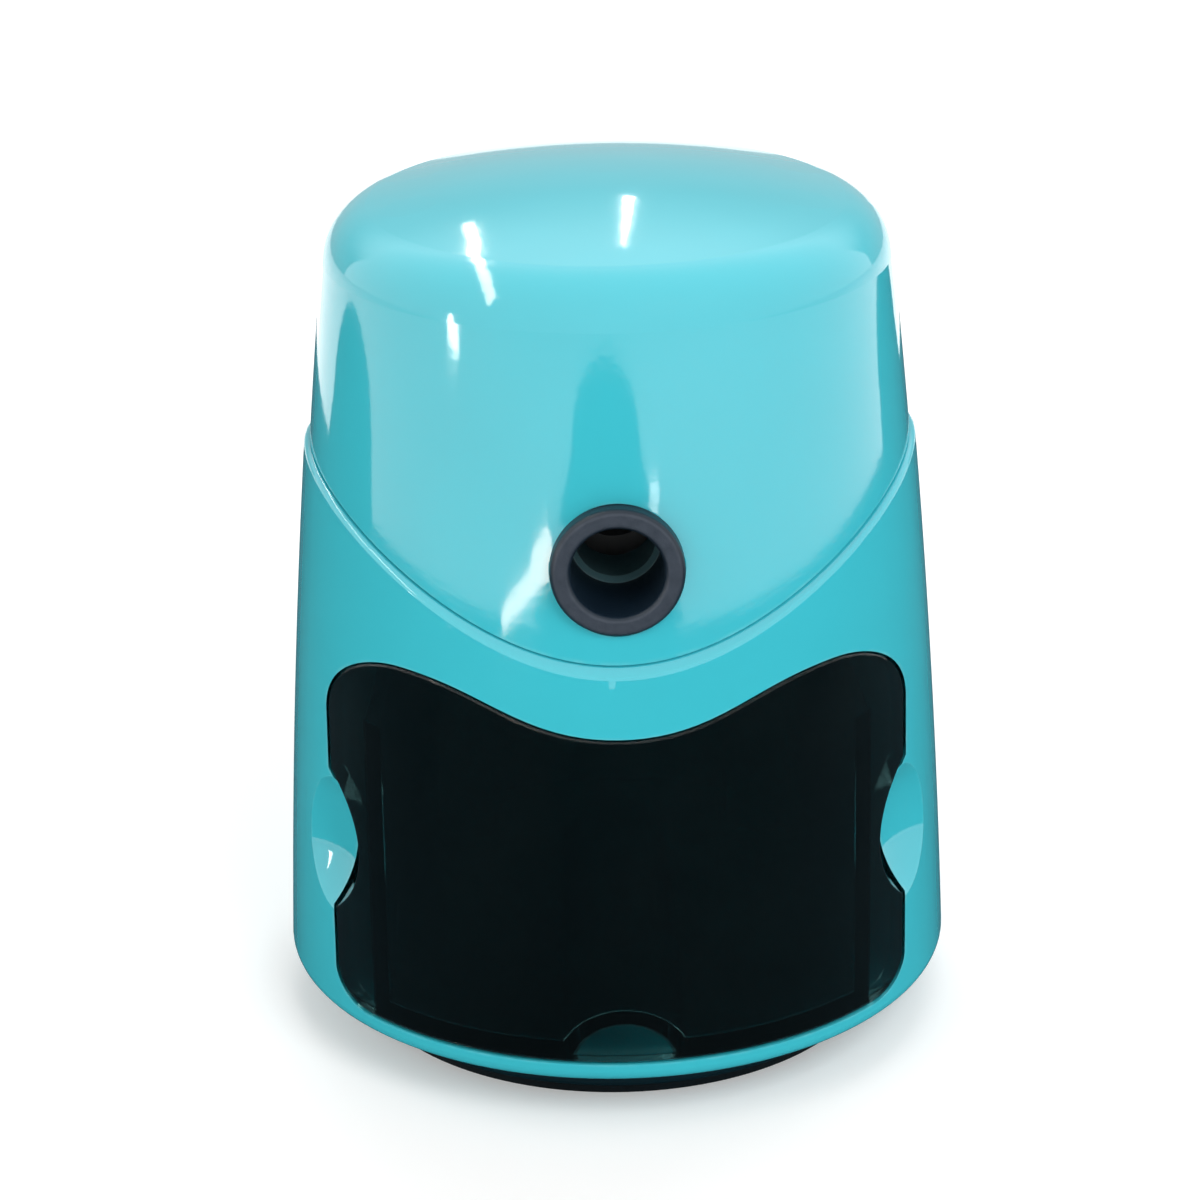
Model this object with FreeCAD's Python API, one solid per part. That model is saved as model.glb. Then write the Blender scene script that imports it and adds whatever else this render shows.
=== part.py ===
import FreeCAD
import Part
import math
import os
from FreeCAD import Vector

# Crank pencil sharpener, in millimetres.
# The origin is the middle of the foot on the surface that it stands on, +Z is up,
# the pencil goes in from the front (-Y) and the crank turns at the back (+Y).

# Barrel outline
barrel_bottom_z = 5.7
barrel_bottom_r = 37.5
shoulder_z = 87.8
shoulder_r = 31.25
barrel_bulge = 0.75
dome_top_z = 95.7
crown_r = 120.0
shoulder_fillet = 7.0
bottom_fillet = 1.2

# How far a cutting tool passes the face that it opens
cut_over = 1.0

# Walls and seam
housing_wall = 2.2
cover_wall = 2.0
cover_step = 0.6
floor_thickness = 2.1
seam_centre_z = 19.4
seam_drop = 4.45
seam_gap = 0.35
rim_round = 0.5
tongue_thickness = 1.1
tongue_height = 0.9
tongue_root = 4.0
tongue_gap = 0.15

# Drawer front outline, seen from the front
drawer_half_width = 31.0
drawer_top_centre_z = 44.2
ear_top_z = 49.2
ear_corner_r = 8.5
ear_pull = 0.62
dip_pull = 0.48
drawer_corner_r = 3.5
notch_z = 26.2
notch_half_height = 7.9
notch_depth = 2.9
drawer_gap = 0.3
front_recess = 0.15
front_thickness = 2.2

# Drawer bin
bin_half_width = 26.0
bin_post_gap = 1.3
bin_top_z = 41.0
bin_wall = 1.5
bin_floor = 1.5
bin_corner_r = 6.0

# Guide rail under the drawer, its round end shows as a half moon
rail_half_width = 5.2
rail_height = 3.6
rail_front_gap = 0.5
rail_back_gap = 1.8
rail_gap = 0.35

# Finger scoops beside the drawer
scoop_angle = 56.6
scoop_offset = 7.4
scoop_depth = 3.2
scoop_half_height = 11.0
scoop_wall = 1.6

# Base and foot
base_inset = 6.2
base_lift = 1.5
pad_recess = 1.0
pad_inset = 1.7
pad_gap = 0.15
base_edge_round = 0.8
base_boss_r = 3.0
base_boss_depth = 2.1
base_screw_circle_r = 22.0
base_screw_count = 4

# Pencil port
axis_z = 62.4
pencil_bore_r = 4.2
bezel_stand = 1.2
bezel_r = 6.9
bezel_flange = 2.0
bezel_bore_r = 4.8
bezel_length = 9.8
sleeve_r = 5.7
sleeve_gap = 0.1
bezel_round = 0.6

# Pencil guide and gears
guide_thickness = 2.4
guide_hub_r = 6.5
guide_hub_length = 6.5
guide_throat = 0.5
gear_gap = 0.4
gear_room = 5.6
pinion_width = 2.8
ring_teeth = 36
pinion_teeth = 12
tooth_height = 0.8
root_clearance = 0.25
backlash = 0.14
flank_bow = 0.03
pressure_angle = 20.0
ring_wall = 2.2
lug_r = 3.4
lug_circle_r = 20.6
lug_count = 3

# Cutter
cutter_tilt = 11.0
cutter_r = 4.6
cutter_tip_room = 2.2
cutter_tip_offset = 0.3
flute_count = 8
flute_depth = 1.1
flute_twist = 95.0
flute_sections = 7
land_share = 0.12
land_drop = 0.15
root_share = 0.75
spindle_r = 2.0
press_gap = 0.01

# Carrier and frame
run_gap = 0.05
carrier_front_thickness = 3.5
journal_r = 14.0
carrier_neck_r = 12.0
carrier_tail_r = 8.6
carrier_length = 21.7
carrier_disc = 4.0
carrier_end_wall = 0.6
carrier_window_half = 3.0
carrier_window_margin = 2.5
trough_wall = 2.0
carrier_disc_r = 9.6
carrier_boss_r = 6.0
carrier_boss_length = 4.5
pocket_gap = 0.6
pencil_cone_gap = 0.25
frame_ring_gap = 0.3
frame_ring_thickness = 3.8
frame_beam_x = 15.6
frame_beam_thickness = 2.6
frame_beam_drop = 6.0
frame_bend_room = 9.0
rear_plate_half = 11.2
frame_tab_rise = 7.0
frame_tab_thickness = 2.5
frame_tab_r = 3.6
frame_post_x = 21.0
frame_post_setback = 7.1
frame_post_span = 14.0
frame_post_r = 3.0
rear_plate_thickness = 3.2

# Shaft, bush and clip
shaft_r = 3.5
shaft_flat = 0.9
bush_flange_r = 7.0
bush_flange = 1.0
bush_r = 5.2
bush_overhang = 0.6
bush_gap = 0.1
clip_thickness = 0.8
clip_r = 5.8
clip_groove = 0.6
clip_slot = 4.4
shaft_hole_gap = 0.8
collar_r = 8.5
collar_stand = 1.4
collar_sink = 1.2

# Crank
crank_radius = 42.0
hub_r = 7.0
hub_gap = 0.5
hub_depth = 10.0
arm_thickness = 5.0
arm_end_r = 6.0
arm_rib = 1.2
arm_rim = 1.6
knob_length = 22.0
knob_r = 8.2
knob_neck_r = 5.6
knob_foot_r = 6.2
knob_end_r = 5.9
knob_waist = 3.5
knob_belly = 13.6
knob_gap = 0.4
pin_r = 2.4
pin_head_r = 4.2
pin_head = 1.8

# Screws
screw_r = 1.4
screw_pilot_gap = 0.02
screw_hole_gap = 0.15
screw_head_r = 2.6
screw_head = 1.6
screw_grip = 5.5
cross_slot_width = 0.8
cross_slot_depth = 0.9
cross_slot_r = 1.7
cover_post_x = 18.0
cover_post_setin = 9.25
cover_post_r = 3.9
cover_post_top_z = 46.0
cover_post_web = 2.0
cover_boss_r = 3.2
cover_boss_gap = 0.1
cover_boss_room = 0.3
cover_boss_top_z = 84.0

def barrel_arc():
    """Centre (r, z) and radius of the arc that the barrel's side follows."""
    rise = shoulder_z - barrel_bottom_z
    run = shoulder_r - barrel_bottom_r
    chord = math.hypot(rise, run)
    radius = chord * chord / (8 * barrel_bulge) + barrel_bulge / 2
    reach = radius - barrel_bulge
    mid_r = (shoulder_r + barrel_bottom_r) / 2
    mid_z = (shoulder_z + barrel_bottom_z) / 2
    return Vector(mid_r - reach * rise / chord, 0, mid_z + reach * run / chord), radius


def barrel_radius(z, inset=0.0):
    centre, radius = barrel_arc()
    return centre.x + math.sqrt((radius - inset) ** 2 - (z - centre.z) ** 2)


# Values that follow
floor_top_z = barrel_bottom_z + floor_thickness
drawer_bottom_z = floor_top_z + drawer_gap
tilt = math.radians(cutter_tilt)
cover_front_r = barrel_radius(axis_z, cover_step)
seam_front_z = axis_z - bezel_r - seam_drop
seam_r = math.hypot(barrel_radius(seam_front_z), seam_front_z - seam_centre_z)
cover_post_y = shoulder_r - cover_post_setin
bin_back_y = cover_post_y - cover_post_r - bin_post_gap
rail_back_y = bin_back_y - rail_back_gap
base_r = barrel_bottom_r - base_inset
pad_r = base_r - pad_inset
bezel_face_y = -cover_front_r - bezel_stand
guide_face_y = bezel_face_y + bezel_length
gear_front_y = guide_face_y + guide_hub_length + gear_gap
gear_back_y = gear_front_y + gear_room
journal_front_y = gear_back_y + frame_ring_gap
journal_back_y = journal_front_y + carrier_front_thickness
carrier_back_y = journal_back_y + carrier_length
cutter_tip_y = carrier_back_y - cutter_tip_room
boss_front_y = carrier_back_y + carrier_disc
boss_back_y = boss_front_y + carrier_boss_length
plate_front_y = boss_back_y + bush_gap + bush_flange
plate_back_y = plate_front_y + rear_plate_thickness
bush_back_y = plate_back_y + bush_overhang
clip_front_y = bush_back_y + bush_gap
frame_bend_y = plate_front_y - frame_bend_room
frame_beam_low_z = axis_z - frame_beam_drop
frame_tab_z = axis_z + frame_tab_rise
frame_post_front_y = gear_back_y + frame_post_setback
frame_post_back_y = frame_post_front_y + frame_post_span
collar_face_y = cover_front_r + collar_stand
hub_front_y = collar_face_y + hub_gap
hub_back_y = hub_front_y + hub_depth
shaft_end_y = hub_back_y - screw_head
arm_front_y = hub_back_y - arm_thickness
knob_front_y = hub_back_y + knob_gap
knob_back_y = knob_front_y + knob_length
crank_pin_z = axis_z - crank_radius
outer_reach = 2 * barrel_bottom_r
drawer_split_y = -cut_over

# The cutter's axis meets the pencil's axis at this point, where every gear cone ends
apex_y = cutter_tip_y + (cutter_r / math.cos(tilt) + cutter_tip_offset) / math.tan(tilt)
apex = Vector(0, apex_y, axis_z)
cutter_axis = Vector(0, -math.cos(tilt), math.sin(tilt))
ratio = ring_teeth / pinion_teeth
pinion_cone = math.atan2(math.sin(tilt), ratio - math.cos(tilt))
ring_cone = pinion_cone + tilt

X_AXIS = Vector(1, 0, 0)
Y_AXIS = Vector(0, 1, 0)
Z_AXIS = Vector(0, 0, 1)


def save(name, shape):
    """Write one node, after a test that its solids are sound."""
    if not shape.isValid():
        raise RuntimeError(name + " is not a valid shape")
    shape.exportStep("parts/" + name + ".step")
    print(name, len(shape.Solids), round(shape.Volume, 1))


def rod(radius, start, direction, length):
    return Part.makeCylinder(radius, length, start, direction)


def rod_y(radius, y_from, y_to, x=0.0, z=axis_z):
    return rod(radius, Vector(x, y_from, z), Y_AXIS, y_to - y_from)


def rod_z(radius, z_from, z_to, x, y):
    return rod(radius, Vector(x, y, z_from), Z_AXIS, z_to - z_from)


def block(x_from, x_to, y_from, y_to, z_from, z_to):
    return Part.makeBox(x_to - x_from, y_to - y_from, z_to - z_from, Vector(x_from, y_from, z_from))


def revolve(points, centre, axis):
    """Turn a closed outline of points about an axis."""
    face = Part.Face(Part.makePolygon(points + points[:1]))
    return face.revolve(centre, axis, 360)


def revolve_y(outline):
    """Turn an outline of (radius, y) about the pencil's axis."""
    points = [Vector(0, y, axis_z + r) for r, y in outline]
    return revolve(points, Vector(0, 0, axis_z), Y_AXIS)


def around_y(shape, angle):
    turned = shape.copy()
    turned.rotate(Vector(0, 0, axis_z), Y_AXIS, angle)
    return turned


def side_point(z, inset):
    return Vector(barrel_radius(z, inset), 0, z)


def arc(start, middle, end):
    return Part.Arc(start, middle, end).toShape()


def turn_about_z(edges):
    return Part.Face(Part.Wire(edges)).revolve(Vector(0, 0, 0), Z_AXIS, 360)


def barrel(inset, z_low, z_high):
    """Solid barrel, its side set in by a constant amount."""
    low = side_point(z_low, inset)
    high = side_point(z_high, inset)
    low_axis = Vector(0, 0, z_low)
    high_axis = Vector(0, 0, z_high)
    return turn_about_z([
        arc(low, side_point((z_low + z_high) / 2, inset), high),
        Part.makeLine(high, high_axis),
        Part.makeLine(high_axis, low_axis),
        Part.makeLine(low_axis, low),
    ])


def domed_barrel(inset, z_low):
    """Barrel closed by the shallow crown, with a rounded shoulder tangent to both."""
    side_centre, side_radius = barrel_arc()
    crown_centre = Vector(0, 0, dome_top_z - crown_r)
    side_reach = side_radius - shoulder_fillet
    crown_reach = crown_r - shoulder_fillet
    between = crown_centre - side_centre
    span = between.Length
    along = (span * span + side_reach ** 2 - crown_reach ** 2) / (2 * span)
    across = math.sqrt(side_reach ** 2 - along ** 2)
    forward = between / span
    shoulder = side_centre + forward * along + Vector(-forward.z, 0, forward.x) * across
    side_way = (shoulder - side_centre).normalize()
    crown_way = (shoulder - crown_centre).normalize()
    middle_way = (side_way + crown_way).normalize()
    low = side_point(z_low, inset)
    side_end = side_centre + side_way * (side_radius - inset)
    crown_start = crown_centre + crown_way * (crown_r - inset)
    top_way = (crown_way + Z_AXIS).normalize()
    top = crown_centre + Z_AXIS * (crown_r - inset)
    return turn_about_z([
        arc(low, side_point((z_low + side_end.z) / 2, inset), side_end),
        arc(side_end, shoulder + middle_way * (shoulder_fillet - inset), crown_start),
        arc(crown_start, crown_centre + top_way * (crown_r - inset), top),
        Part.makeLine(top, Vector(0, 0, z_low)),
        Part.makeLine(Vector(0, 0, z_low), low),
    ])


def seam_drum(offset):
    """Everything under the seam, a wide arc seen from the side."""
    return rod(seam_r + offset, Vector(-outer_reach, 0, seam_centre_z), X_AXIS, 2 * outer_reach)


def below_seam(shape, offset):
    drum = seam_drum(offset)
    skirt = block(-outer_reach, outer_reach, -outer_reach, outer_reach, -outer_reach, seam_centre_z)
    return shape.common(drum.fuse(skirt))


def above_seam(shape, offset):
    drum = seam_drum(offset)
    skirt = block(-outer_reach, outer_reach, -outer_reach, outer_reach, -outer_reach, seam_centre_z)
    return shape.cut(drum.fuse(skirt))


def drawer_outline(grow):
    """Closed outline of the drawer's front in the XZ plane, grown all round."""
    width = drawer_half_width + grow
    low = drawer_bottom_z - grow
    top = ear_top_z + grow
    corner = drawer_corner_r + grow
    ear = ear_corner_r + grow
    dip = drawer_top_centre_z + grow
    notch_low = notch_z - notch_half_height
    notch_high = notch_z + notch_half_height
    notch_x = width - notch_depth
    bend = math.sqrt(0.5)

    def point(x, z):
        return Vector(x, -outer_reach, z)

    def half(side):
        edges = []
        edges.append(Part.makeLine(point(0, low), point(side * (width - corner), low)))
        corner_mid = point(side * (width - corner + corner * bend), low + corner - corner * bend)
        corner_end = point(side * width, low + corner)
        edges.append(Part.Arc(point(side * (width - corner), low), corner_mid, corner_end).toShape())
        edges.append(Part.makeLine(corner_end, point(side * width, notch_low)))
        notch_mid = point(side * notch_x, notch_z)
        notch_end = point(side * width, notch_high)
        edges.append(Part.Arc(point(side * width, notch_low), notch_mid, notch_end).toShape())
        edges.append(Part.makeLine(notch_end, point(side * width, top - ear)))
        ear_mid = point(side * (width - ear + ear * bend), top - ear + ear * bend)
        ear_end = point(side * (width - ear), top)
        edges.append(Part.Arc(point(side * width, top - ear), ear_mid, ear_end).toShape())
        curve = Part.BezierCurve()
        reach = width - ear
        curve.setPoles([ear_end, point(side * reach * ear_pull, top), point(side * reach * dip_pull, dip),
                        point(0, dip)])
        edges.append(curve.toShape())
        return edges

    return Part.Face(Part.Wire(Part.__sortEdges__(half(1) + half(-1))))


def drawer_prism(grow, back_y):
    """The drawer's outline carried straight back from the front."""
    return drawer_outline(grow).extrude(Vector(0, outer_reach + back_y, 0))


def scoop(side, grow):
    """Egg-shaped finger scoop, turned about an upright axis just outside the barrel."""
    radius = scoop_offset + scoop_depth + grow
    height = scoop_half_height + grow
    distance = barrel_radius(notch_z) + scoop_offset
    angle = math.radians(scoop_angle)
    centre = Vector(side * distance * math.sin(angle), -distance * math.cos(angle), notch_z)
    egg = Part.Ellipse(centre + Vector(0, 0, height), centre + Vector(radius, 0, 0), centre)
    half = Part.Wire([
        Part.Arc(egg, -math.pi, 0).toShape(),
        Part.makeLine(centre + Vector(0, 0, height), centre - Vector(0, 0, height)),
    ])
    return Part.Face(half).revolve(centre, Z_AXIS, 360)


def rail(grow, front_y, back_y):
    """Half-round guide rail along the housing's floor."""
    half = rail_half_width + grow
    top_z = floor_top_z + rail_height + grow
    ends = [Vector(-half, front_y, floor_top_z), Vector(half, front_y, floor_top_z)]
    crown = Part.Arc(ends[0], Vector(0, front_y, top_z), ends[1]).toShape()
    return Part.Face(Part.Wire([crown, Part.makeLine(ends[1], ends[0])])).extrude(Vector(0, back_y - front_y, 0))


def cover_post_places():
    return [(side * cover_post_x, cover_post_y) for side in (-1, 1)]


def base_screw_places():
    step = 2 * math.pi / base_screw_count
    angles = [(i + 0.5) * step for i in range(base_screw_count)]
    return [(base_screw_circle_r * math.cos(a), base_screw_circle_r * math.sin(a)) for a in angles]


def frame_post_places():
    return [(side * frame_post_x, y) for side in (-1, 1) for y in (frame_post_front_y, frame_post_back_y)]


def lug_angles():
    return [i * 360.0 / lug_count for i in range(lug_count)]


def screw(head, direction, grip):
    """Pan-head screw: the head's seat, the way its shank points, and the shank's length."""
    back = direction * -screw_head
    body = Part.makeCylinder(screw_head_r, screw_head, head + back, direction)
    rim = [edge for edge in body.Edges if (edge.CenterOfMass - head - back).Length < screw_head / 4]
    body = body.makeFillet(screw_head / 2, rim)
    slot_x = Part.makeBox(2 * screw_head_r, cross_slot_width, cross_slot_depth)
    slot_x.translate(Vector(-screw_head_r, -cross_slot_width / 2, 0))
    slot_y = slot_x.copy()
    slot_y.rotate(Vector(0, 0, 0), Z_AXIS, 90)
    cross = slot_x.fuse(slot_y).common(Part.makeCylinder(cross_slot_r, cross_slot_depth))
    cross.Placement = FreeCAD.Placement(head + back, FreeCAD.Rotation(Z_AXIS, direction))
    return body.fuse(rod(screw_r, head, direction, grip)).cut(cross)


def lower_housing():
    outer = barrel(0, barrel_bottom_z, dome_top_z)
    inner = barrel(housing_wall, floor_top_z, dome_top_z)
    shell = below_seam(outer, 0)
    bottom = [e for e in shell.Edges if e.BoundBox.ZMax < barrel_bottom_z + 0.01]
    shell = shell.makeFillet(bottom_fillet, bottom)
    lip = [e for e in shell.Edges if e.BoundBox.ZMax > seam_centre_z + seam_r / 2 and e.BoundBox.ZLength > 5]
    lip = [e for e in lip if e.BoundBox.XLength > 5]
    shell = shell.makeFillet(rim_round, lip)
    shell = shell.cut(inner)
    tongue_out = cover_step + cover_wall + tongue_gap
    tongue_in = tongue_out + tongue_thickness
    tongue = barrel(tongue_out, floor_top_z, dome_top_z).cut(barrel(tongue_in, floor_top_z, dome_top_z))
    tongue = above_seam(below_seam(tongue, tongue_height), -tongue_root)
    root = barrel(housing_wall / 2, floor_top_z, dome_top_z).cut(barrel(tongue_in, floor_top_z, dome_top_z))
    root = above_seam(below_seam(root, -rim_round), -tongue_root)
    band = tongue.fuse(root)
    for x, y in cover_post_places():
        band = band.cut(rod_z(cover_boss_r + cover_boss_room, cover_post_top_z, dome_top_z, x, y))
    band = band.cut(rod_y(collar_r + cover_boss_room, 0, outer_reach))
    shell = shell.fuse(band)
    pocket = outer.common(scoop(-1, scoop_wall).fuse(scoop(1, scoop_wall)))
    shell = shell.fuse(pocket)
    shell = shell.cut(drawer_prism(drawer_gap, drawer_split_y))
    shell = shell.cut([scoop(-1, 0), scoop(1, 0)])
    front_y = -barrel_radius(floor_top_z) + front_recess + front_thickness + rail_front_gap
    added = [rail(0, front_y, rail_back_y)]
    removed = []
    for x, y in cover_post_places():
        added.append(rod_z(cover_post_r, barrel_bottom_z, cover_post_top_z, x, y))
        access_top = cover_post_top_z - cover_post_web
        removed.append(rod_z(screw_head_r + screw_hole_gap, barrel_bottom_z, access_top, x, y))
        removed.append(rod_z(screw_r + screw_hole_gap, access_top, cover_post_top_z, x, y))
        removed.append(rod_z(cover_boss_r + cover_boss_gap, cover_post_top_z, dome_top_z, x, y))
    for x, y in base_screw_places():
        added.append(rod_z(base_boss_r, barrel_bottom_z - base_boss_depth, barrel_bottom_z, x, y))
        low_z = barrel_bottom_z - base_boss_depth
        removed.append(rod_z(screw_r + screw_pilot_gap, low_z, low_z + base_screw_grip() + drawer_gap, x, y))
    return shell.fuse(added).cut(removed)


def base_screw_grip():
    return base_boss_depth + floor_thickness - 2 * drawer_gap


def upper_cover():
    outer = domed_barrel(cover_step, seam_centre_z)
    inner = domed_barrel(cover_step + cover_wall, seam_centre_z - cut_over)
    shell = above_seam(outer.cut(inner), seam_gap)
    posts = []
    holes = []
    for x, y in frame_post_places():
        posts.append(rod_z(frame_post_r, frame_tab_z + frame_tab_thickness, dome_top_z, x, y))
        tab_top = frame_tab_z + frame_tab_thickness
        holes.append(rod_z(screw_r + screw_pilot_gap, tab_top, tab_top + screw_grip, x, y))
    for x, y in cover_post_places():
        low_z = cover_post_top_z + cover_boss_gap
        posts.append(rod_z(cover_boss_r, low_z, cover_boss_top_z, x, y))
        holes.append(rod_z(screw_r + screw_pilot_gap, low_z, low_z + 2 * screw_grip, x, y))
    posts = [post.common(outer) for post in posts]
    collar_root_y = barrel_radius(axis_z + collar_r, cover_step + cover_wall / 2)
    collar = rod_y(collar_r, collar_root_y - collar_sink, collar_face_y)
    shell = shell.fuse(posts + [collar])
    holes.append(rod_y(shaft_r + shaft_hole_gap, 0, outer_reach))
    holes.append(rod_y(sleeve_r + sleeve_gap, -outer_reach, 0))
    seat_y = bezel_face_y + bezel_flange
    holes.append(rod_y(bezel_r + sleeve_gap, -outer_reach, seat_y))
    return shell.cut(holes)


def port_bezel():
    flange_back_y = bezel_face_y + bezel_flange
    flange = rod_y(bezel_r, bezel_face_y, flange_back_y)
    sleeve = rod_y(sleeve_r, flange_back_y, guide_face_y)
    body = flange.fuse(sleeve).cut(rod_y(bezel_bore_r, bezel_face_y, guide_face_y))
    face_edges = [e for e in body.Edges if e.BoundBox.YMax < bezel_face_y + 0.01]
    return body.makeFillet(bezel_round, face_edges)


def lug_plate(front_y, back_y, bore_r, disc_r):
    """Round plate with three screw lugs."""
    parts = []
    for angle in lug_angles():
        lug = rod_y(lug_r, front_y, back_y, 0, axis_z + lug_circle_r)
        web = block(-lug_r, lug_r, front_y, back_y, axis_z, axis_z + lug_circle_r)
        parts += [around_y(lug, angle), around_y(web, angle)]
    plate = rod_y(disc_r, front_y, back_y).fuse(parts).removeSplitter()
    return plate.cut(rod_y(bore_r, front_y, back_y))


def lug_holes(radius, front_y, back_y):
    hole = rod_y(radius, front_y, back_y, 0, axis_z + lug_circle_r)
    return [around_y(hole, angle) for angle in lug_angles()]


def ring_radius(y):
    return (apex_y - y) * math.tan(ring_cone)


def ring_outer_r():
    return ring_radius(gear_front_y) + tooth_height + root_clearance + ring_wall


def pencil_guide():
    hub_back_y = guide_face_y + guide_hub_length
    plate_front = hub_back_y - guide_thickness
    plate = lug_plate(plate_front, hub_back_y, pencil_bore_r, ring_outer_r())
    hub = rod_y(guide_hub_r, guide_face_y, hub_back_y)
    plate = plate.fuse(hub).cut(rod_y(pencil_bore_r, guide_face_y, hub_back_y))
    front_edges = [e for e in plate.Edges if e.BoundBox.YMax < guide_face_y + 0.01]
    throat = [e for e in front_edges if e.BoundBox.XLength < 2 * bezel_bore_r]
    plate = plate.makeChamfer(guide_throat, throat)
    return plate.cut(lug_holes(screw_r + screw_hole_gap, plate_front, hub_back_y))


def tooth_points(count, pitch_r, inner_r, outer_r, slack):
    """Corner points of one tooth: angles and radii of its root, pitch and tip."""
    pitch_angle = 2 * math.pi / count
    pressure = math.tan(math.radians(pressure_angle))
    points = []
    for radius in (inner_r, pitch_r, outer_r):
        lean = (pitch_r - radius) * pressure
        half = pitch_angle / 4 + (lean - slack) / pitch_r
        points.append((half, radius))
    return points


def gear_wire(count, pitch_r, inner_r, outer_r, slack):
    """Closed tooth outline about the Z axis, with flanks that bow as an involute does."""
    points = tooth_points(count, pitch_r, inner_r, outer_r, slack)
    bow = flank_bow * (outer_r - inner_r)
    edges = []

    def place(angle, radius):
        return Vector(radius * math.cos(angle), radius * math.sin(angle), 0)

    for i in range(count):
        centre = 2 * math.pi * i / count
        following = 2 * math.pi * (i + 1) / count
        root, pitch, tip = points
        flank = (pitch[0] + bow / pitch_r, pitch[1])
        edges.append(Part.Arc(place(centre - root[0], root[1]), place(centre - flank[0], flank[1]),
                              place(centre - tip[0], tip[1])).toShape())
        edges.append(Part.Arc(place(centre - tip[0], tip[1]), place(centre, tip[1]),
                              place(centre + tip[0], tip[1])).toShape())
        edges.append(Part.Arc(place(centre + tip[0], tip[1]), place(centre + flank[0], flank[1]),
                              place(centre + root[0], root[1])).toShape())
        middle = (centre + following) / 2
        edges.append(Part.Arc(place(centre + root[0], root[1]), place(middle, root[1]),
                              place(following - root[0], root[1])).toShape())
    return Part.Wire(edges)


def cone_loft(wire, axis, near, far):
    """Tooth outline carried along its cone, shrinking towards the apex."""
    wires = []
    for distance in (far, near):
        ring = wire.copy()
        ring.scale(distance / far)
        ring.Placement = FreeCAD.Placement(apex + axis * distance, FreeCAD.Rotation(Z_AXIS, axis))
        wires.append(ring)
    return Part.makeLoft(wires, True, True)


def ring_gear():
    far = apex_y - gear_front_y + gear_gap
    near = apex_y - gear_back_y - gear_gap
    pitch_r = far * math.tan(ring_cone)
    wire = gear_wire(ring_teeth, pitch_r, pitch_r - tooth_height, pitch_r + tooth_height + root_clearance,
                     -backlash)
    front_y = guide_face_y + guide_hub_length
    plate = lug_plate(front_y, gear_back_y, pencil_bore_r, ring_outer_r())
    teeth = cone_loft(wire, Vector(0, -1, 0), near, far)
    return plate.cut(teeth).cut(lug_holes(screw_r + screw_hole_gap, front_y, gear_back_y))


def along_cutter(y):
    """Distance from the apex along the cutter's axis to where it stands at a depth y."""
    return (apex_y - y) / math.cos(tilt)


def cutter_rod(radius, near, far):
    return rod(radius, apex + cutter_axis * near, cutter_axis, far - near)


def cutter_near():
    return along_cutter(carrier_back_y) + cutter_r * math.tan(tilt) + gear_gap


def cutter_far():
    return along_cutter(journal_back_y) - cutter_r * math.tan(tilt) - gear_gap


def pinion_near():
    return along_cutter((gear_front_y + gear_back_y) / 2) - pinion_width / 2


def pinion_far():
    return pinion_near() + pinion_width


def cutter_pinion():
    far = pinion_far()
    pitch_r = far * math.tan(pinion_cone)
    wire = gear_wire(pinion_teeth, pitch_r, pitch_r - tooth_height - root_clearance, pitch_r + tooth_height,
                     backlash)
    body = cone_loft(wire, cutter_axis, pinion_near(), far)
    return body.cut(cutter_rod(spindle_r + press_gap, pinion_near(), far))


def helical_cutter():
    near = cutter_near()
    length = cutter_far() - near
    pitch = 2 * math.pi / flute_count
    wires = []
    for i in range(flute_sections):
        share = i / (flute_sections - 1)
        turn = math.radians(flute_twist) * share
        points = []
        for tooth in range(flute_count):
            angle = tooth * pitch + turn
            points.append((angle, cutter_r))
            points.append((angle + land_share * pitch, cutter_r - land_drop * flute_depth))
            points.append((angle + root_share * pitch, cutter_r - flute_depth))
        corners = [Vector(r * math.cos(a), r * math.sin(a), share * length) for a, r in points]
        wires.append(Part.makePolygon(corners + corners[:1]))
    body = Part.makeLoft(wires, True, False)
    body.Placement = FreeCAD.Placement(apex + cutter_axis * near, FreeCAD.Rotation(Z_AXIS, cutter_axis))
    return body.cut(cutter_rod(spindle_r + press_gap, near, near + length))


def cutter_spindle():
    return cutter_rod(spindle_r, along_cutter(boss_front_y) + spindle_r, pinion_far() + press_gap)


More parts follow.
